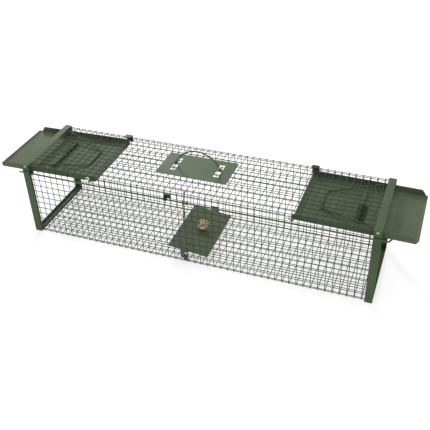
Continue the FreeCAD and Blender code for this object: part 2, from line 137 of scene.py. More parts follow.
class TrapStage(bpy.types.PropertyGroup):
    """Camera, light and floor"""

    azimuth: bpy.props.FloatProperty(
        name="Azimuth", description="Camera angle round the trap", default=math.radians(21.38),
        subtype="ANGLE")
    elevation: bpy.props.FloatProperty(
        name="Elevation", description="Camera angle above the horizon", default=math.radians(35.89),
        subtype="ANGLE")
    roll: bpy.props.FloatProperty(
        name="Roll", description="Camera turn about its line of sight", default=math.radians(-1.90),
        subtype="ANGLE")
    distance: bpy.props.FloatProperty(
        name="Distance", description="Camera to target", default=1.7145, unit="LENGTH")
    target: bpy.props.FloatVectorProperty(
        name="Target", description="Point the camera looks at", default=(0.0762, -0.1162, 0.1829), size=3,
        subtype="TRANSLATION", unit="LENGTH")
    lens: bpy.props.FloatProperty(
        name="Lens", description="Focal length in millimetres", default=56.1)
    floor_tone: bpy.props.FloatProperty(
        name="Floor tone", description="Grey of the floor's surface", default=0.35)
    floor_glow: bpy.props.FloatProperty(
        name="Floor glow", description="White light that the floor gives off", default=0.67)


# Materials

def shader(name):
    """A new node material, its node tree and its Principled shader."""
    material = bpy.data.materials.new(name)
    material.use_nodes = True
    tree = material.node_tree
    return material, tree, tree.nodes["Principled BSDF"]


def noise_texture(tree, scale, detail=3.0, stretch=(1, 1, 1)):
    """A noise texture on object coordinates, optionally stretched."""
    place = tree.nodes.new("ShaderNodeTexCoord")
    mapping = tree.nodes.new("ShaderNodeMapping")
    mapping.inputs["Scale"].default_value = stretch
    texture = tree.nodes.new("ShaderNodeTexNoise")
    texture.inputs["Scale"].default_value = scale
    texture.inputs["Detail"].default_value = detail
    tree.links.new(place.outputs["Object"], mapping.inputs["Vector"])
    tree.links.new(mapping.outputs["Vector"], texture.inputs["Vector"])
    return texture


def ramp(tree, source, stops):
    """A colour ramp fed by source; stops are (position, colour)."""
    node = tree.nodes.new("ShaderNodeValToRGB")
    elements = node.color_ramp.elements
    for element, (position, colour) in zip(elements, stops):
        element.position = position
        element.color = (*colour, 1)
    for position, colour in stops[2:]:
        elements.new(position).color = (*colour, 1)
    tree.links.new(source, node.inputs["Fac"])
    return node


def mixed(tree, factor, first, second):
    """Mix of two colours by a factor socket; each may be a socket or a colour."""
    node = tree.nodes.new("ShaderNodeMix")
    node.data_type = "RGBA"
    tree.links.new(factor, node.inputs["Factor"])
    for socket, value in ((node.inputs["A"], first), (node.inputs["B"], second)):
        if isinstance(value, bpy.types.NodeSocket):
            tree.links.new(value, socket)
        else:
            socket.default_value = (*value, 1)
    return node.outputs["Result"]


def to_range(tree, source, low, high):
    """Maps 0..1 of a socket to low..high."""
    node = tree.nodes.new("ShaderNodeMapRange")
    node.inputs["To Min"].default_value = low
    node.inputs["To Max"].default_value = high
    tree.links.new(source, node.inputs["Value"])
    return node.outputs["Result"]


def bumped(tree, bsdf, height, strength, distance):
    """Gives a shader a bump from a height socket."""
    node = tree.nodes.new("ShaderNodeBump")
    node.inputs["Strength"].default_value = strength
    node.inputs["Distance"].default_value = distance
    tree.links.new(height, node.inputs["Height"])
    tree.links.new(node.outputs["Normal"], bsdf.inputs["Normal"])


def tinted(colour, amount):
    """The colour made darker or brighter, up to white."""
    return tuple(min(1.0, c * amount) for c in colour)


def powder_coat(name, colour, roughness, dust):
    """Coated steel: cloudy tone, orange-peel skin, a little pale dust and small scuffs."""
    material, tree, bsdf = shader(name)
    cloud = noise_texture(tree, 14, 4)
    tone = ramp(tree, cloud.outputs["Fac"],
                [(0.28, tinted(colour, 0.84)), (0.72, tinted(colour, 1.14))])
    speck = noise_texture(tree, 240, 2)
    specks = ramp(tree, speck.outputs["Fac"], [(0.60, (0, 0, 0)), (0.74, (1, 1, 1))])
    dusted = to_range(tree, specks.outputs["Color"], 0.0, 0.35 * dust)
    pale = tuple(0.5 * c + 0.11 for c in colour)
    base = mixed(tree, dusted, tone.outputs["Color"], pale)
    scratch = noise_texture(tree, 60, 2, stretch=(0.25, 3.0, 3.0))
    scuffs = ramp(tree, scratch.outputs["Fac"], [(0.68, (0, 0, 0)), (0.73, (1, 1, 1))])
    scuffed = to_range(tree, scuffs.outputs["Color"], 0.0, 0.45 * dust)
    base = mixed(tree, scuffed, base, tinted(colour, 1.6))
    tree.links.new(base, bsdf.inputs["Base Color"])
    tree.links.new(to_range(tree, cloud.outputs["Fac"], roughness - 0.1, roughness + 0.12),
                   bsdf.inputs["Roughness"])
    peel = noise_texture(tree, 900, 2)
    bumped(tree, bsdf, peel.outputs["Fac"], 0.22, 0.0004)
    bsdf.inputs["Specular IOR Level"].default_value = 0.10
    return material


def zinc_plate(name, colour):
    """Bright zinc: metallic, brushed by tumbling, faintly clouded."""
    material, tree, bsdf = shader(name)
    cloud = noise_texture(tree, 300, 3)
    tone = ramp(tree, cloud.outputs["Fac"],
                [(0.3, tinted(colour, 0.72)), (0.7, tinted(colour, 1.1))])
    tree.links.new(tone.outputs["Color"], bsdf.inputs["Base Color"])
    tree.links.new(to_range(tree, cloud.outputs["Fac"], 0.22, 0.42), bsdf.inputs["Roughness"])
    bumped(tree, bsdf, cloud.outputs["Fac"], 0.12, 0.0003)
    bsdf.inputs["Metallic"].default_value = 1.0
    return material


def nut_surface(name, colour, roughness, scale, depth, darkest):
    """Dull natural surface with blotches and fine creases."""
    material, tree, bsdf = shader(name)
    blotch = noise_texture(tree, scale, 5)
    tone = ramp(tree, blotch.outputs["Fac"],
                [(0.38, tinted(colour, darkest)), (0.50, colour), (0.76, tinted(colour, 1.3))])
    tree.links.new(tone.outputs["Color"], bsdf.inputs["Base Color"])
    bsdf.inputs["Roughness"].default_value = roughness
    crease = noise_texture(tree, scale * 4, 4)
    bumped(tree, bsdf, crease.outputs["Fac"], 0.5, depth)
    bsdf.inputs["Subsurface Weight"].default_value = 0.05
    bsdf.inputs["Subsurface Scale"].default_value = 0.002
    return material


def finish_for(slot):
    """The material of one of the record's slots, or of the walnut's kernel, made once."""
    name = "finish_" + slot
    if name in bpy.data.materials:
        return bpy.data.materials[name]
    look = bpy.context.scene.trap_finishes
    makers = {
        "mesh_wire": lambda: powder_coat(name, look.wire, 0.62, 0.2),
        "frame_sheet": lambda: powder_coat(name, look.sheet, 0.55, 0.5),
        "door_sheet": lambda: powder_coat(name, look.door, 0.60, 0.8),
        "green_rod": lambda: powder_coat(name, look.rod, 0.50, 0.3),
        # dark steel on guides and hinge plates; on the catch tongues the same dark is painted shade beside
        # each door catch
        "dark_steel": lambda: powder_coat(name, look.dark, 0.5, 0.3),
        "zinc": lambda: zinc_plate(name, look.zinc),
        "walnut": lambda: nut_surface(name, look.shell, 0.62, 160, 0.0006, 0.45),
        "kernel": lambda: nut_surface(name, look.kernel, 0.5, 120, 0.0004, 0.10),
    }
    return makers[slot]()


# Making pieces

def slot_of(node):
    """The material slot that the record gives a node."""
    for entry in frame["record"]["subparts"]:
        if entry["node"] == node:
            return entry["material_slot"]
    raise RuntimeError("no material slot for " + node)


def body_of_node(node):
    """The moving body that a node belongs to, or root."""
    for body, nodes in frame["record"]["behaviour"]["bodies"].items():
        if node in nodes:
            return body
    raise RuntimeError("no body for " + node)


def set_tilt():
    """The set treadle's lean about its axle, from the plate's box."""
    low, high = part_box("treadle_plate")
    return math.asin((high.z - low.z - TREADLE_THICKNESS) / TREADLE_LENGTH)


def add_piece(name, mesh, nodes, slot=None, body=None):
    """Puts a finished mesh in the scene as the piece that stands for nodes."""
    piece = bpy.data.objects.new(name, mesh)
    bpy.context.scene.collection.objects.link(piece)
    slot = slot or slot_of(nodes[0])
    if not mesh.materials:
        mesh.materials.append(finish_for(slot))
    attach(piece, body or body_of_node(nodes[0]))
    if nodes:
        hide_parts(*nodes)
    return piece


def evaluated_mesh(obj):
    """Plain mesh of a curve or of an object with its modifiers applied; the object is removed."""
    graph = bpy.context.evaluated_depsgraph_get()
    mesh = bpy.data.meshes.new_from_object(obj.evaluated_get(graph))
    bpy.data.objects.remove(obj)
    return mesh


def temporary(data):
    """A passing object in the scene, so that a curve or a modifier can be evaluated."""
    obj = bpy.data.objects.new("temporary", data)
    bpy.context.scene.collection.objects.link(obj)
    return obj


def rounded_sheet(node, width):
    """A copy of a sheet-metal node with its doubles merged and every folded or cut edge rounded."""
    mesh = frame["nodes"][node].data.copy()
    mesh.materials.clear()
    mesh.shade_smooth()
    work = bmesh.new()
    work.from_mesh(mesh)
    bmesh.ops.remove_doubles(work, verts=work.verts, dist=1e-6)
    bmesh.ops.dissolve_limit(work, angle_limit=math.radians(1), verts=work.verts, edges=work.edges)
    work.to_mesh(mesh)
    work.free()
    obj = temporary(mesh)
    bevel = obj.modifiers.new("Rounded edges", "BEVEL")
    bevel.width = width
    bevel.segments = 2
    bevel.limit_method = "ANGLE"
    bevel.angle_limit = math.radians(28)
    # large flat faces keep an even shade beside the rounded edges
    weighted = obj.modifiers.new("Flat faces", "WEIGHTED_NORMAL")
    weighted.weight = 90
    result = evaluated_mesh(obj)
    result.name = node + "_sheet"
    return result


def rounded_route(points, bend, steps=6):
    """Corners of a wire's route turned into short arcs of radius bend; the ends stay."""
    route = [Vector(points[0])]
    for before, corner, after in zip(points, points[1:], points[2:]):
        corner = Vector(corner)
        into = (Vector(before) - corner).normalized()
        out = (Vector(after) - corner).normalized()
        half = into.angle(out) / 2
        reach = bend / math.tan(half)
        centre = corner + (into + out).normalized() * (bend / math.sin(half))
        first = corner + into * reach - centre
        last = corner + out * reach - centre
        for step in range(steps + 1):
            route.append(centre + first.slerp(last, step / steps).normalized() * bend)
    route.append(Vector(points[-1]))
    return route


def wire_tube(points, radius, sides=14, closed=False):
    """Mesh of a bent wire with flat ends, or of a closed loop."""
    curve = bpy.data.curves.new("wire", "CURVE")
    curve.dimensions = "3D"
    curve.bevel_depth = radius
    curve.bevel_resolution = sides // 4
    curve.use_fill_caps = not closed
    spline = curve.splines.new("POLY")
    spline.points.add(len(points) - 1)
    for target, point in zip(spline.points, points):
        target.co = (*point, 1)
    spline.use_cyclic_u = closed
    mesh = evaluated_mesh(temporary(curve))
    mesh.shade_smooth()
    mesh.set_sharp_from_angle(angle=math.radians(50))
    return mesh


# Geometry Nodes

def new_tree(name, inputs):
    """A node group with one geometry input and output and named number inputs."""
    tree = bpy.data.node_groups.new(name, "GeometryNodeTree")
    face = tree.interface
    face.new_socket("Geometry", in_out="INPUT", socket_type="NodeSocketGeometry")
    for label, kind in inputs:
        face.new_socket(label, in_out="INPUT", socket_type="NodeSocket" + kind)
    face.new_socket("Geometry", in_out="OUTPUT", socket_type="NodeSocketGeometry")
    return tree, tree.nodes.new("NodeGroupInput"), tree.nodes.new("NodeGroupOutput")


def add_node(tree, kind, **properties):
    """Adds a node and sets its properties."""
    node = tree.nodes.new(kind)
    for key, value in properties.items():
        setattr(node, key, value)
    return node


def feed(tree, node, socket, value):
    """Links a socket to a node's input, or sets the input to a plain value."""
    target = node.inputs[socket]
    if isinstance(value, bpy.types.NodeSocket):
        tree.links.new(value, target)
    else:
        target.default_value = value


def maths(tree, operation, first, second):
    node = add_node(tree, "ShaderNodeMath", operation=operation)
    feed(tree, node, 0, first)
    feed(tree, node, 1, second)
    return node.outputs[0]


def vector_of(tree, x, y, z):
    node = tree.nodes.new("ShaderNodeCombineXYZ")
    for index, value in enumerate((x, y, z)):
        feed(tree, node, index, value)
    return node.outputs[0]


def row_of_points(tree, count, start, offset):
    node = add_node(tree, "GeometryNodeMeshLine", mode="OFFSET", count_mode="TOTAL")
    feed(tree, node, "Count", count)
    feed(tree, node, "Start Location", start)
    feed(tree, node, "Offset", offset)
    return node.outputs["Mesh"]


def instanced(tree, points, shape):
    node = tree.nodes.new("GeometryNodeInstanceOnPoints")
    feed(tree, node, "Points", points)
    feed(tree, node, "Instance", shape)
    return node.outputs["Instances"]


def merged(tree, parts):
    node = tree.nodes.new("GeometryNodeJoinGeometry")
    for part in reversed(parts):
        tree.links.new(part, node.inputs[0])
    return node.outputs[0]


def realized(tree, geometry):
    node = tree.nodes.new("GeometryNodeRealizeInstances")
    feed(tree, node, "Geometry", geometry)
    return node.outputs[0]


def painted(tree, geometry, material):
    node = tree.nodes.new("GeometryNodeSetMaterial")
    feed(tree, node, "Geometry", geometry)
    node.inputs["Material"].default_value = material
    return node.outputs[0]


def wire_mesh_tree(material):
    """Rings bent round the cage, wires along it and a weld at each crossing."""
    tree, given, out = new_tree("Welded Wire Mesh", [
        ("Width", "Float"), ("Height", "Float"), ("Length", "Float"), ("Middle Y", "Float"),
        ("Pitch", "Float"), ("Rings", "Int"), ("Roof Gaps", "Int"), ("Wall Gaps", "Int"),
        ("Lowest Wall Wire", "Float"), ("Wire Radius", "Float"), ("Corner", "Float"),
        ("Waviness", "Float"), ("Weld", "Float")])
    g = given.outputs
    radius, pitch = g["Wire Radius"], g["Pitch"]
    # one ring, drawn flat and stood up across the cage
    loop = tree.nodes.new("GeometryNodeCurvePrimitiveQuadrilateral")
    feed(tree, loop, "Width", g["Width"])
    feed(tree, loop, "Height", g["Height"])
    bent = add_node(tree, "GeometryNodeFilletCurve", mode="POLY")
    feed(tree, bent, "Curve", loop.outputs[0])
    feed(tree, bent, "Radius", g["Corner"])
    feed(tree, bent, "Count", CORNER_STEPS)
    stand = tree.nodes.new("GeometryNodeTransform")
    feed(tree, stand, "Geometry", bent.outputs[0])
    feed(tree, stand, "Rotation", (math.pi / 2, 0, math.pi / 2))
    half_height = maths(tree, "MULTIPLY", g["Height"], 0.5)
    ring_z = maths(tree, "ADD", half_height, radius)
    last_ring = maths(tree, "SUBTRACT", g["Rings"], 1)
    first_x = maths(tree, "MULTIPLY", maths(tree, "MULTIPLY", last_ring, pitch), -0.5)
    ring_points = row_of_points(tree, g["Rings"], vector_of(tree, first_x, g["Middle Y"], ring_z),
                                vector_of(tree, pitch, 0, 0))
    rings = instanced(tree, ring_points, stand.outputs[0])
    # one lengthways wire
    half_length = maths(tree, "MULTIPLY", g["Length"], 0.5)
    straight = tree.nodes.new("GeometryNodeCurvePrimitiveLine")
    feed(tree, straight, "Start", vector_of(tree, maths(tree, "MULTIPLY", half_length, -1), 0, 0))
    feed(tree, straight, "End", vector_of(tree, half_length, 0, 0))
    fine = tree.nodes.new("GeometryNodeResampleCurve")
    feed(tree, fine, "Curve", straight.outputs[0])
    feed(tree, fine, "Count", LONG_WIRE_STEPS)
    # rows of lengthways wires just inside the rings, and their welds
    roof_count = maths(tree, "ADD", g["Roof Gaps"], 1)
    wall_count = maths(tree, "ADD", g["Wall Gaps"], 1)
    row_y = maths(tree, "SUBTRACT", g["Middle Y"],
                  maths(tree, "MULTIPLY", maths(tree, "MULTIPLY", g["Roof Gaps"], pitch), 0.5))
    inset = maths(tree, "MULTIPLY", radius, 2)
    half_width = maths(tree, "MULTIPLY", g["Width"], 0.5)
    inner_half = maths(tree, "SUBTRACT", half_width, inset)
    top_z = maths(tree, "ADD", g["Height"], radius)
    across, upward = vector_of(tree, 0, pitch, 0), vector_of(tree, 0, 0, pitch)
    rows = (
        (roof_count, vector_of(tree, 0, row_y, maths(tree, "ADD", radius, inset)), across),
        (roof_count, vector_of(tree, 0, row_y, maths(tree, "SUBTRACT", top_z, inset)), across),
        (wall_count, vector_of(tree, 0, maths(tree, "SUBTRACT", g["Middle Y"], inner_half),
                               g["Lowest Wall Wire"]), upward),
        (wall_count, vector_of(tree, 0, maths(tree, "ADD", g["Middle Y"], inner_half),
                               g["Lowest Wall Wire"]), upward),
    )
    blob = tree.nodes.new("GeometryNodeMeshIcoSphere")
    feed(tree, blob, "Radius", g["Weld"])
    feed(tree, blob, "Subdivisions", 1)
    weld_line = row_of_points(tree, g["Rings"], vector_of(tree, first_x, 0, 0),
                              vector_of(tree, pitch, 0, 0))
    weld_row = realized(tree, instanced(tree, weld_line, blob.outputs[0]))
    long_wires, welds = [], []
    for count, start, step in rows:
        points = row_of_points(tree, count, start, step)
        long_wires.append(instanced(tree, points, fine.outputs[0]))
        welds.append(instanced(tree, points, weld_row))
    curves = realized(tree, merged(tree, [rings, *long_wires]))
    # slight strays, so that no wire is dead straight
    stray = tree.nodes.new("ShaderNodeTexNoise")
    feed(tree, stray, "Scale", STRAY_SCALE)
    where = tree.nodes.new("GeometryNodeInputPosition")
    feed(tree, stray, "Vector", where.outputs[0])
    centred = add_node(tree, "ShaderNodeVectorMath", operation="SUBTRACT")
    feed(tree, centred, 0, stray.outputs["Color"])
    feed(tree, centred, 1, (0.5, 0.5, 0.5))
    scaled = add_node(tree, "ShaderNodeVectorMath", operation="SCALE")
    feed(tree, scaled, 0, centred.outputs[0])
    feed(tree, scaled, "Scale", maths(tree, "MULTIPLY", g["Waviness"], 2))
    moved = tree.nodes.new("GeometryNodeSetPosition")
    feed(tree, moved, "Geometry", curves)
    feed(tree, moved, "Offset", scaled.outputs[0])
    section = tree.nodes.new("GeometryNodeCurvePrimitiveCircle")
    feed(tree, section, "Resolution", WIRE_SIDES)
    feed(tree, section, "Radius", radius)
    tube = tree.nodes.new("GeometryNodeCurveToMesh")
    feed(tree, tube, "Curve", moved.outputs[0])
    feed(tree, tube, "Profile Curve", section.outputs[0])
    feed(tree, tube, "Fill Caps", True)
    everything = realized(tree, merged(tree, [tube.outputs[0], *welds]))
    smooth = tree.nodes.new("GeometryNodeSetShadeSmooth")
    feed(tree, smooth, "Geometry", everything)
    tree.links.new(painted(tree, smooth.outputs[0], material), out.inputs[0])
    return tree


def rivet_tree(material):
    """A domed head with a rim on each point, turned to face along the point's normal."""
    tree, given, out = new_tree("Rivet Heads", [("Radius", "Float"), ("Height", "Float")])
    g = given.outputs
    dome = tree.nodes.new("GeometryNodeMeshUVSphere")
    feed(tree, dome, "Segments", DOME_SIDES)
    feed(tree, dome, "Rings", DOME_RINGS)
    feed(tree, dome, "Radius", 1.0)
    shaped = tree.nodes.new("GeometryNodeTransform")
    feed(tree, shaped, "Geometry", dome.outputs["Mesh"])
    dome_radius = maths(tree, "MULTIPLY", g["Radius"], 0.86)
    feed(tree, shaped, "Scale", vector_of(tree, dome_radius, dome_radius, g["Height"]))
    rim = tree.nodes.new("GeometryNodeMeshCylinder")
    feed(tree, rim, "Vertices", RIM_SIDES)
    feed(tree, rim, "Radius", g["Radius"])
    feed(tree, rim, "Depth", maths(tree, "MULTIPLY", g["Height"], 0.7))
    head = merged(tree, [shaped.outputs[0], rim.outputs["Mesh"]])
    facing = add_node(tree, "GeometryNodeInputNamedAttribute", data_type="FLOAT_VECTOR")
    facing.inputs["Name"].default_value = "facing"
    turn = add_node(tree, "FunctionNodeAlignRotationToVector", axis="Z")
    feed(tree, turn, "Vector", facing.outputs[0])
    place = tree.nodes.new("GeometryNodeInstanceOnPoints")
    feed(tree, place, "Points", g["Geometry"])
    feed(tree, place, "Instance", head)
    feed(tree, place, "Rotation", turn.outputs[0])
    solid = realized(tree, place.outputs[0])
    smooth = tree.nodes.new("GeometryNodeSetShadeSmooth")
    feed(tree, smooth, "Geometry", solid)
    tree.links.new(painted(tree, smooth.outputs[0], material), out.inputs[0])
    return tree


def run_tree(tree, mesh, values):
    """Runs a tree on a mesh with its inputs set by identifier; returns the plain result."""
    obj = temporary(mesh)
    modifier = obj.modifiers.new("Nodes", "NODES")
    modifier.node_group = tree
    sockets = {s.name: s.identifier for s in tree.interface.items_tree if s.in_out == "INPUT"}
    for name, value in values.items():
        modifier[sockets[name]] = value
    return evaluated_mesh(obj)


# Operators

class TRAP_OT_wire_mesh(bpy.types.Operator):
    """Weld the wire mesh round the cage"""

    bl_idname = "trap.wire_mesh"
    bl_label = "Wire Mesh"

    def execute(self, context):
        sizes = context.scene.trap_mesh
        tree = wire_mesh_tree(finish_for("mesh_wire"))
        diameter = WIRE_DIAMETER
        mesh = run_tree(tree, bpy.data.meshes.new("seed"), {
            "Width": BACK_FACE - FRONT_FACE - diameter,
            "Height": ROOF_HIGH.z - diameter,
            "Length": ROOF_HIGH.x - ROOF_LOW.x,
            "Middle Y": MID_Y,
            "Pitch": sizes.pitch,
            "Rings": sizes.rings,
            "Roof Gaps": sizes.roof_gaps,
            "Wall Gaps": sizes.wall_gaps,
            "Lowest Wall Wire": sizes.lowest_wall_wire,
            "Wire Radius": diameter / 2,
            "Corner": sizes.corner,
            "Waviness": sizes.waviness,
            "Weld": sizes.weld,
        })
        mesh.name = "wire_mesh"
        add_piece("wire_mesh", mesh, ["floor_mesh", "roof_mesh", "front_mesh", "back_mesh"])
        return {"FINISHED"}


class TRAP_OT_sheet_metal(bpy.types.Operator):
    """Round the edges of every folded sheet part: frames, doors, treadle, plates and brackets"""

    bl_idname = "trap.sheet_metal"
    bl_label = "Sheet Metal"

    def execute(self, context):
        width = context.scene.trap_finishes.edge_round
        # the catch tongues keep the dark slot, which paints the shade beside each raised door catch
        paired = ("front_post", "back_post", "bottom_bar", "top_bar", "door", "door_catch",
                  "catch_tongue", "hinge_plate")
        nodes = [side + "_" + part for part in paired for side in SIDES]
        nodes += ["handle_plate", "handle_lugs", "front_treadle_bracket", "back_treadle_bracket",
                  "treadle_plate", "treadle_straps", "rod_guides"]
        for node in nodes:
            add_piece(node + "_sheet", rounded_sheet(node, width), [node])
        return {"FINISHED"}


class TRAP_OT_lock_bails(bpy.types.Operator):
    """Bend the two lock bails"""

    bl_idname = "trap.lock_bails"
    bl_label = "Lock Bails"

    radius: bpy.props.FloatProperty(name="Radius", description="Wire radius", default=0.002, unit="LENGTH")
    cross_half: bpy.props.FloatProperty(
        name="Half crossbar", description="Half the crossbar's width", default=0.040, unit="LENGTH")
    pin: bpy.props.FloatProperty(
        name="Pin length", description="Straight end beyond each arm", default=0.0184, unit="LENGTH")
    bend: bpy.props.FloatProperty(name="Bend", description="Bend radius", default=0.006, unit="LENGTH")

    def execute(self, context):
        for side in SIDES:
            node = side + "_lock_bail"
            low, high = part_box(node)
            outer = high.x - self.radius if side == "right" else low.x + self.radius
            inner = low.x + self.radius if side == "right" else high.x - self.radius
            pin_z, cross_z = high.z - self.radius, low.z + self.radius
            arm = (high.y - low.y) / 2 - self.pin
            points = [(outer, low.y, pin_z), (outer, MID_Y - arm, pin_z),
                      (inner, MID_Y - self.cross_half, cross_z),
                      (inner, MID_Y + self.cross_half, cross_z),
                      (outer, MID_Y + arm, pin_z), (outer, high.y, pin_z)]
            mesh = wire_tube(rounded_route(points, self.bend), self.radius)
            add_piece(node + "_wire", mesh, [node])
        return {"FINISHED"}


class TRAP_OT_door_pivots(bpy.types.Operator):
    """Bend the door pivot rods and close a bright ring on each front end"""

    bl_idname = "trap.door_pivots"
    bl_label = "Door Pivots"

    radius: bpy.props.FloatProperty(name="Radius", description="Rod radius", default=0.002, unit="LENGTH")
    ring_wire: bpy.props.FloatProperty(
        name="Ring wire", description="Radius of the ring's wire", default=0.0016, unit="LENGTH")
    bend: bpy.props.FloatProperty(name="Bend", description="Bend radius", default=0.004, unit="LENGTH")
    around: bpy.props.IntProperty(name="Ring steps", description="Corners round the ring", default=32)

    def execute(self, context):
        for side in SIDES:
            low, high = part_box(side + "_door_pivot")
            ring_low, ring_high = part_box(side + "_pivot_ring")
            centre = (ring_low + ring_high) / 2
            reach = (ring_high.x - ring_low.x) / 2 - self.ring_wire
            x, y, z = high.x - self.radius, low.y + self.radius, low.z + self.radius
            toward = (Vector((x, y, z)) - centre).normalized()
            tip = centre + toward * (reach + self.ring_wire * 0.5)
            route = rounded_route([(x, high.y, z), (x, y, z), tip], self.bend)
            add_piece(side + "_pivot_rod", wire_tube(route, self.radius), [side + "_door_pivot"])
            circle = []
            for step in range(self.around):
                angle = 2 * math.pi * step / self.around
                circle.append(centre + Vector((math.cos(angle), 0, math.sin(angle))) * reach)
            add_piece(side + "_ring_wire", wire_tube(circle, self.ring_wire, closed=True),
                      [side + "_pivot_ring"])
        return {"FINISHED"}


class TRAP_OT_trip_gear(bpy.types.Operator):
    """Bend the trip lever with its axle, and the trigger rod with its collars"""

    bl_idname = "trap.trip_gear"
    bl_label = "Trip Gear"

    lever_radius: bpy.props.FloatProperty(
        name="Lever radius", description="Radius of the axle and lever", default=0.002, unit="LENGTH")
    rod_radius: bpy.props.FloatProperty(
        name="Rod radius", description="Radius of the trigger rod", default=0.0023, unit="LENGTH")
    lever_bend: bpy.props.FloatProperty(
        name="Lever bend", description="Bend radius from axle to lever", default=0.007, unit="LENGTH")
    hook_bend: bpy.props.FloatProperty(
        name="Hook bend", description="Bend radius at the rod's turned-up end", default=0.006, unit="LENGTH")
    hook_run: bpy.props.FloatProperty(
        name="Hook run", description="How far the turned-up end reaches along", default=0.008, unit="LENGTH")

    def execute(self, context):
        low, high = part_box("trip_lever")
        r = self.lever_radius
        x, y, z = low.x + r, low.y + r, low.z + r
        lever = [(x, high.y, z), (x, y, z), (high.x - r, y, high.z - r * 0.1)]
        add_piece("trip_lever_wire", wire_tube(rounded_route(lever, self.lever_bend), r), ["trip_lever"])
        low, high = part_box("trigger_rod")
        r = self.rod_radius
        y, z = low.y + r, low.z + r
        # the flat end of the slanted tube reaches a little past its middle
        past_x, past_z = 0.0020, 0.0014
        tip = Vector((high.x - past_x, y, high.z - past_z))
        points = [(low.x, y, z), (tip.x - self.hook_run, y, z), tip]
        add_piece("trigger_rod_wire", wire_tube(rounded_route(points, self.hook_bend), r), ["trigger_rod"])
        add_piece("rod_collar_rings", rounded_sheet("rod_collars", 0.0004), ["rod_collars"])
        return {"FINISHED"}


class TRAP_OT_carry_handle(bpy.types.Operator):
    """Bend the carry handle over the roof plate"""

    bl_idname = "trap.carry_handle"
    bl_label = "Carry Handle"

    radius: bpy.props.FloatProperty(name="Radius", description="Wire radius", default=0.002, unit="LENGTH")
    pin: bpy.props.FloatProperty(
        name="Pin length", description="Straight end beyond the leg", default=0.009, unit="LENGTH")
    shoulder: bpy.props.FloatProperty(
        name="Shoulder", description="Height from the leg's top to the crown", default=0.035, unit="LENGTH")
    bend: bpy.props.FloatProperty(name="Bend", description="Bend radius", default=0.0045, unit="LENGTH")
    steps: bpy.props.IntProperty(name="Arch steps", description="Straight steps in the arch", default=24)

    def execute(self, context):
        low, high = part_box("carry_handle")
        middle_x, y = (low.x + high.x) / 2, (low.y + high.y) / 2
        foot, crown = low.z + self.radius, high.z - self.radius
        half = (high.x - low.x) / 2 - self.pin
        bow = (half ** 2 + self.shoulder ** 2) / (2 * self.shoulder)
        sweep = math.asin(half / bow)
        arch = []
        for step in range(self.steps + 1):
            angle = -sweep + 2 * sweep * step / self.steps
            arch.append((middle_x + bow * math.sin(angle), y, crown - bow * (1 - math.cos(angle))))
        ends = rounded_route([(low.x, y, foot), (middle_x - half, y, foot), arch[0]], self.bend)
        points = ends[:-1] + [Vector(p) for p in arch]
        mirrored_ends = [Vector((2 * middle_x - p.x, p.y, p.z)) for p in reversed(ends[:-1])]
        add_piece("carry_handle_wire", wire_tube(points + mirrored_ends, self.radius, 16), ["carry_handle"])
        return {"FINISHED"}


class TRAP_OT_fasteners(bpy.types.Operator):
    """Set the rivets, screws and push-on caps"""

    bl_idname = "trap.fasteners"
    bl_label = "Fasteners"

    radius: bpy.props.FloatProperty(name="Radius", description="Head radius", default=0.004, unit="LENGTH")
    height: bpy.props.FloatProperty(name="Height", description="Head height", default=0.0013, unit="LENGTH")

    def solids_of(self, node):
        """The corner places of each separate solid of a fastener node."""
        work = bmesh.new()
        work.from_mesh(frame["nodes"][node].data)
        bmesh.ops.remove_doubles(work, verts=work.verts, dist=1e-6)
        left = set(work.verts)
        solids = []
        while left:
            stack, island = [left.pop()], []
            while stack:
                vert = stack.pop()
                island.append(vert.co.copy())
                for edge in vert.link_edges:
                    other = edge.other_vert(vert)
                    if other in left:
                        left.remove(other)
                        stack.append(other)
            solids.append(island)
        work.free()
        return solids

    def execute(self, context):
        lean = set_tilt()
        for node in ("frame_rivets", "bracket_screws", "treadle_rivets", "left_bail_caps",
                     "right_bail_caps"):
            points, facings = [], []
            for island in self.solids_of(node):
                low = Vector(min(p[i] for p in island) for i in range(3))
                high = Vector(max(p[i] for p in island) for i in range(3))
                centre = (low + high) / 2
                if node == "treadle_rivets":
                    facing = Vector((math.sin(lean), 0, math.cos(lean)))
                else:
                    facing = Vector((0, -1 if centre.y < MID_Y else 1, 0))
                top = max(p.dot(facing) for p in island)
                seat = centre + facing * (top - centre.dot(facing) - self.height)
                points.append(seat)
                facings.append(facing)
            seeds = bpy.data.meshes.new("seeds")
            seeds.from_pydata(points, [], [])
            attribute = seeds.attributes.new("facing", "FLOAT_VECTOR", "POINT")
            attribute.data.foreach_set("vector", [c for f in facings for c in f])
            tree = rivet_tree(finish_for(slot_of(node)))
            mesh = run_tree(tree, seeds, {"Radius": self.radius, "Height": self.height})
            mesh.name = node + "_heads"
            add_piece(node + "_heads", mesh, [node])
        return {"FINISHED"}


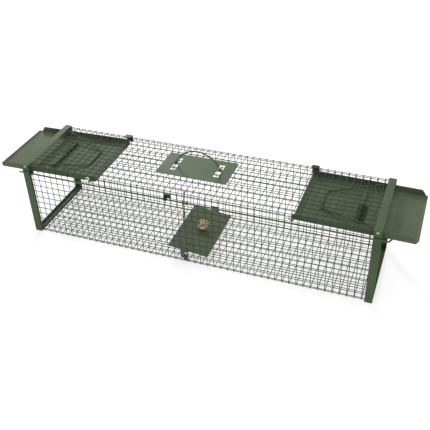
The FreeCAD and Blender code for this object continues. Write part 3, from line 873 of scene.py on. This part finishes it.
class TRAP_OT_bait(bpy.types.Operator):
    """Make the half walnut that baits the treadle"""

    bl_idname = "trap.bait"
    bl_label = "Walnut Bait"

    lean: bpy.props.FloatProperty(
        name="Lean", description="How far the cut face leans to the front", default=math.radians(32),
        subtype="ANGLE")

    def shell(self, radius, centre):
        """Ribbed half shell, its thick rim round a hollow."""
        work = bmesh.new()
        rings, around = 16, 56
        grid = []
        for ring in range(rings + 1):
            polar = math.pi / 2 * ring / rings
            row = []
            for turn in range(around if ring else 1):
                angle = 2 * math.pi * turn / around
                where = Vector((math.cos(angle) * 2.2, math.sin(angle) * 2.2, polar * 2))
                rough = noise.fractal(where, 1, 2, 4)
                seam = math.exp(-((abs(math.sin(angle)) / 0.16) ** 2)) * 0.04
                r = radius * (0.95 + 0.04 * rough + seam)
                row.append(work.verts.new((r * math.sin(polar) * math.cos(angle),
                                           r * math.sin(polar) * math.sin(angle) * 0.96,
                                           -r * math.cos(polar) * 0.9)))
            grid.append(row)
        edge = [vert.co for vert in grid[-1]]
        # inner edge of the rim, then the hollow's wall and floor, as shares of the outer edge and radius
        rim, wall, wall_depth, floor_depth = 0.87, 0.80, 0.3, 0.4
        inner = [work.verts.new((v.x * rim, v.y * rim, 0)) for v in edge]
        deep = [work.verts.new((v.x * wall, v.y * wall, -radius * wall_depth)) for v in edge]
        bottom = work.verts.new((0, 0, -radius * floor_depth))
        for turn in range(around):
            after = (turn + 1) % around
            work.faces.new((grid[0][0], grid[1][after], grid[1][turn]))
            for ring in range(1, rings):
                work.faces.new((grid[ring][turn], grid[ring][after], grid[ring + 1][after],
                                grid[ring + 1][turn]))
            work.faces.new((grid[-1][turn], grid[-1][after], inner[after], inner[turn]))
            work.faces.new((inner[turn], inner[after], deep[after], deep[turn]))
            work.faces.new((deep[turn], deep[after], bottom))
        bmesh.ops.recalc_face_normals(work, faces=work.faces)
        return self.placed(work, "walnut_shell", centre)

    def kernel(self, radius, centre):
        """Four winding lobes parted by a crossing pair of deep grooves."""
        work = bmesh.new()
        bmesh.ops.create_icosphere(work, subdivisions=5, radius=1.0)
        for vert in work.verts:
            d = vert.co.normalized()
            folds = noise.fractal(d * 2.6 + Vector((3.7, 1.3, 0.4)), 1, 2, 3)
            across = math.exp(-((d.y / 0.10) ** 2)) + math.exp(-(((d.x - 0.1) / 0.11) ** 2)) * 0.8
            r = radius * 0.79 * (0.97 + 0.09 * math.sin(8 * folds))
            depth = 0.42 * max(0.0, d.z) * min(1.0, across) + 0.05 * math.sin(11 * folds)
            vert.co = Vector((d.x * r, d.y * r * 0.96, (d.z * 0.30 - depth) * r - radius * 0.10))
        return self.placed(work, "walnut_kernel", centre)

    def placed(self, work, name, centre):
        turn = (Matrix.Rotation(set_tilt(), 4, "Y") @ Matrix.Rotation(self.lean, 4, "X")
                @ Matrix.Rotation(0.7, 4, "Z"))
        bmesh.ops.transform(work, matrix=Matrix.Translation(centre) @ turn, verts=work.verts)
        mesh = bpy.data.meshes.new(name)
        work.to_mesh(mesh)
        work.free()
        mesh.shade_smooth()
        return mesh

    def execute(self, context):
        low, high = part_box("walnut_bait")
        radius = (high.x - low.x) / 2
        middle_x = (low.x + high.x) / 2
        top = high.z - radius * math.sin(self.lean)
        centre = Vector((middle_x, low.y + radius, top))
        add_piece("walnut_shell", self.shell(radius, centre), ["walnut_bait"])
        kernel = self.kernel(radius, centre)
        kernel.materials.append(finish_for("kernel"))
        add_piece("walnut_kernel", kernel, [], "walnut", "treadle")
        return {"FINISHED"}


class TRAP_OT_stage(bpy.types.Operator):
    """Set the floor, the soft lights and the camera"""

    bl_idname = "trap.stage"
    bl_label = "Stage"

    def execute(self, context):
        scene = context.scene
        stage = scene.trap_stage
        bpy.ops.mesh.primitive_plane_add(size=14, location=(0, 0, 0))
        floor = context.object
        floor.name = "floor"
        material, _, bsdf = shader("pale_floor")
        bsdf.inputs["Base Color"].default_value = (*[stage.floor_tone] * 3, 1)
        bsdf.inputs["Roughness"].default_value = 0.9
        bsdf.inputs["Emission Color"].default_value = (1, 1, 1, 1)
        bsdf.inputs["Emission Strength"].default_value = stage.floor_glow
        floor.data.materials.append(material)
        middle = Vector((0, 0, 0.1))
        for name, place, size, power in (
                ("key", (-1.6, 2.65, 1.66), 0.45, 66), ("top", (-0.2, 0.3, 3.4), 2.4, 14)):
            light = bpy.data.lights.new(name, "AREA")
            light.size = size
            light.energy = power
            lamp = bpy.data.objects.new(name, light)
            scene.collection.objects.link(lamp)
            lamp.location = place
            aim = middle - Vector(place)
            lamp.rotation_euler = aim.to_track_quat("-Z", "Y").to_euler()
        world = bpy.data.worlds.new("soft_studio")
        world.use_nodes = True
        background = world.node_tree.nodes["Background"]
        background.inputs["Color"].default_value = (1, 1, 1, 1)
        background.inputs["Strength"].default_value = 1.0
        scene.world = world
        scene.view_settings.view_transform = "Standard"
        self.place_camera(scene, stage)
        return {"FINISHED"}

    def place_camera(self, scene, stage):
        camera = bpy.data.objects.new("camera", bpy.data.cameras.new("camera"))
        scene.collection.objects.link(camera)
        camera.data.lens = stage.lens
        camera.data.sensor_width = 36
        camera.data.clip_start, camera.data.clip_end = 0.05, 50
        a, e, roll = stage.azimuth, stage.elevation, stage.roll
        back = Vector((math.sin(a) * math.cos(e), -math.cos(a) * math.cos(e), math.sin(e)))
        right = Vector((math.cos(a), math.sin(a), 0))
        up = back.cross(right)
        right, up = (right * math.cos(roll) + up * math.sin(roll),
                     up * math.cos(roll) - right * math.sin(roll))
        turn = Matrix((right, up, back)).transposed()
        place = Vector(stage.target) + back * stage.distance
        camera.matrix_world = Matrix.Translation(place) @ turn.to_4x4()
        scene.camera = camera


class TRAP_PT_panel(bpy.types.Panel):
    """Sidebar panel with the trap's sizes, colours and stage settings, and a button for each build step"""

    bl_idname = "TRAP_PT_panel"
    bl_label = "Live Catch Trap"
    bl_space_type = "VIEW_3D"
    bl_region_type = "UI"
    bl_category = "Trap"

    def draw(self, context):
        scene = context.scene
        for group in (scene.trap_mesh, scene.trap_finishes, scene.trap_stage):
            box = self.layout.box()
            for name in group.__annotations__:
                box.prop(group, name)
        for operator in OPERATORS:
            self.layout.operator(operator.bl_idname)


OPERATORS = (
    TRAP_OT_stage,
    TRAP_OT_wire_mesh,
    TRAP_OT_sheet_metal,
    TRAP_OT_lock_bails,
    TRAP_OT_door_pivots,
    TRAP_OT_trip_gear,
    TRAP_OT_carry_handle,
    TRAP_OT_fasteners,
    TRAP_OT_bait,
)
GROUPS = {"trap_mesh": TrapMeshSizes, "trap_finishes": TrapFinishes, "trap_stage": TrapStage}


def register():
    for group in GROUPS.values():
        bpy.utils.register_class(group)
    for name, group in GROUPS.items():
        setattr(bpy.types.Scene, name, bpy.props.PointerProperty(type=group))
    for operator in (*OPERATORS, TRAP_PT_panel):
        bpy.utils.register_class(operator)


def unregister():
    for operator in reversed((*OPERATORS, TRAP_PT_panel)):
        bpy.utils.unregister_class(operator)
    for name in GROUPS:
        delattr(bpy.types.Scene, name)
    for group in reversed(GROUPS.values()):
        bpy.utils.unregister_class(group)


def main():
    register()
    bpy.ops.trap.stage()
    bpy.ops.trap.wire_mesh()
    bpy.ops.trap.sheet_metal()
    bpy.ops.trap.lock_bails()
    bpy.ops.trap.door_pivots()
    bpy.ops.trap.trip_gear()
    bpy.ops.trap.carry_handle()
    bpy.ops.trap.fasteners()
    bpy.ops.trap.bait()


if __name__ == "__main__":
    main()
